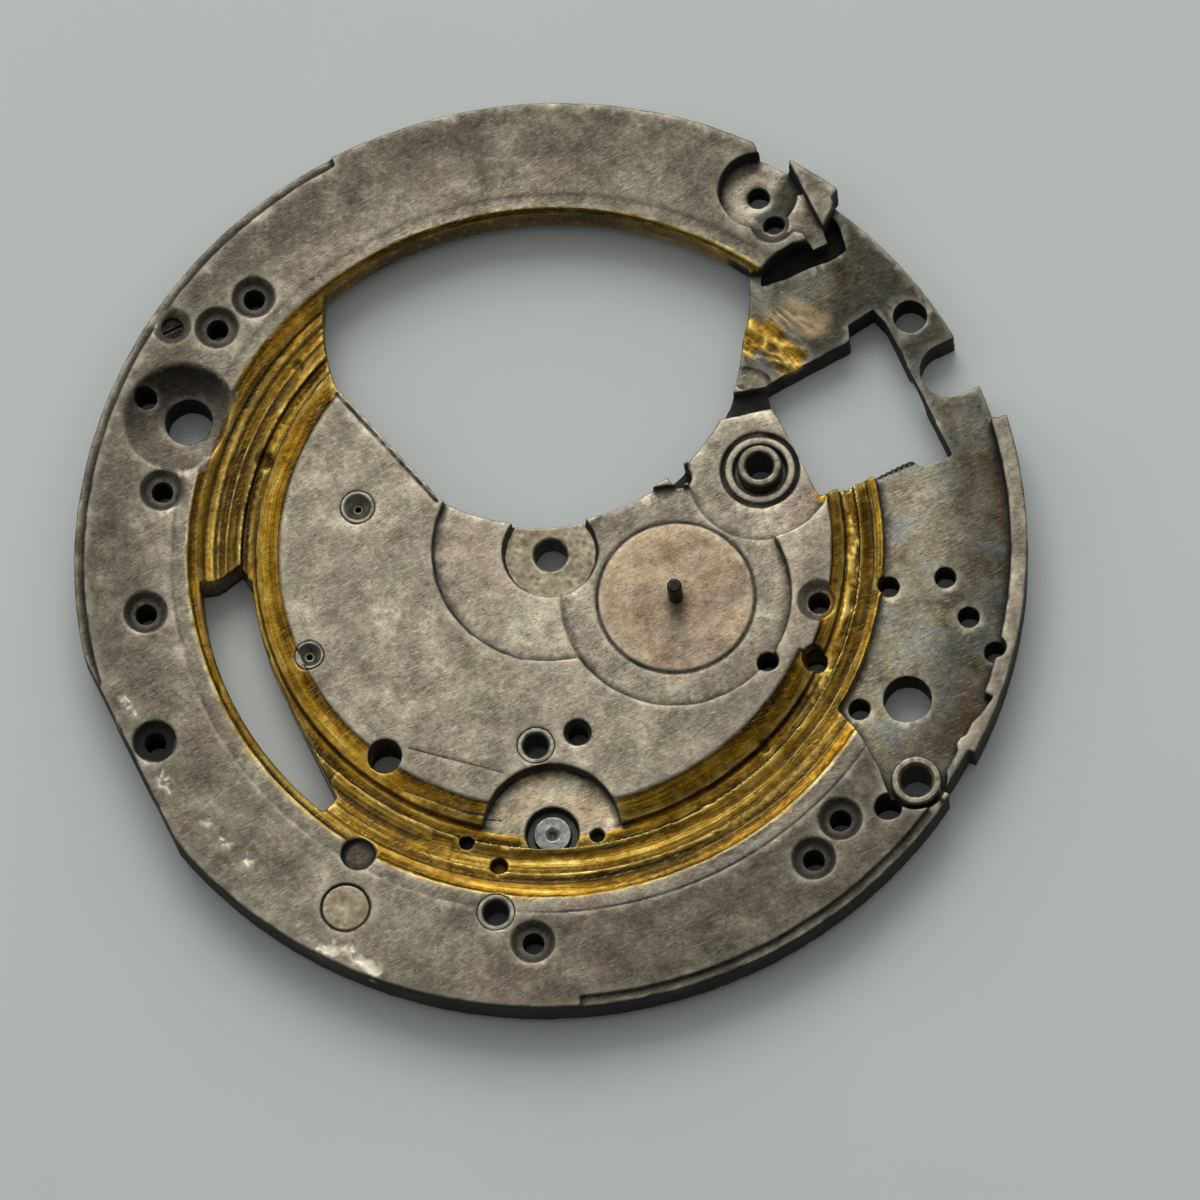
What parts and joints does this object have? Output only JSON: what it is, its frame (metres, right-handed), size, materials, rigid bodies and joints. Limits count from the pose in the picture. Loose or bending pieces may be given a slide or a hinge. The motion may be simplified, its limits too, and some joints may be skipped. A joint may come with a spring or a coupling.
{
  "type": "watch movement mainplate",
  "caption": "Stripped wristwatch mainplate with turned channel, barrel opening, keyless cut-outs, screw holes and pressed-in bushes and posts.",
  "frame": {"origin": "centre of the centre-wheel hole, on the bridge-side face", "axes": "+Z out of the dial side, +X along the winding stem towards the crown"},
  "size_m": [0.0254, 0.026, 0.0024],
  "materials": {
    "plated_brass": "worn nickel plating over brass, the turned channel bare",
    "bush_alloy": "staked and faced bush metal",
    "steel": "turned and polished steel"
  },
  "bodies": {
    "root": {"mainplate": "plated_brass", "centre_bush": "bush_alloy", "minute_wheel_post": "steel", "setting_wheel_post": "steel", "ring_screw_tube": "steel", "filler_plug": "bush_alloy", "balance_endstone": "steel", "large_pivot_bush": "steel", "small_pivot_bush": "bush_alloy", "broken_screw": "steel", "steady_bushes": "bush_alloy"}
  },
  "joints": []
}
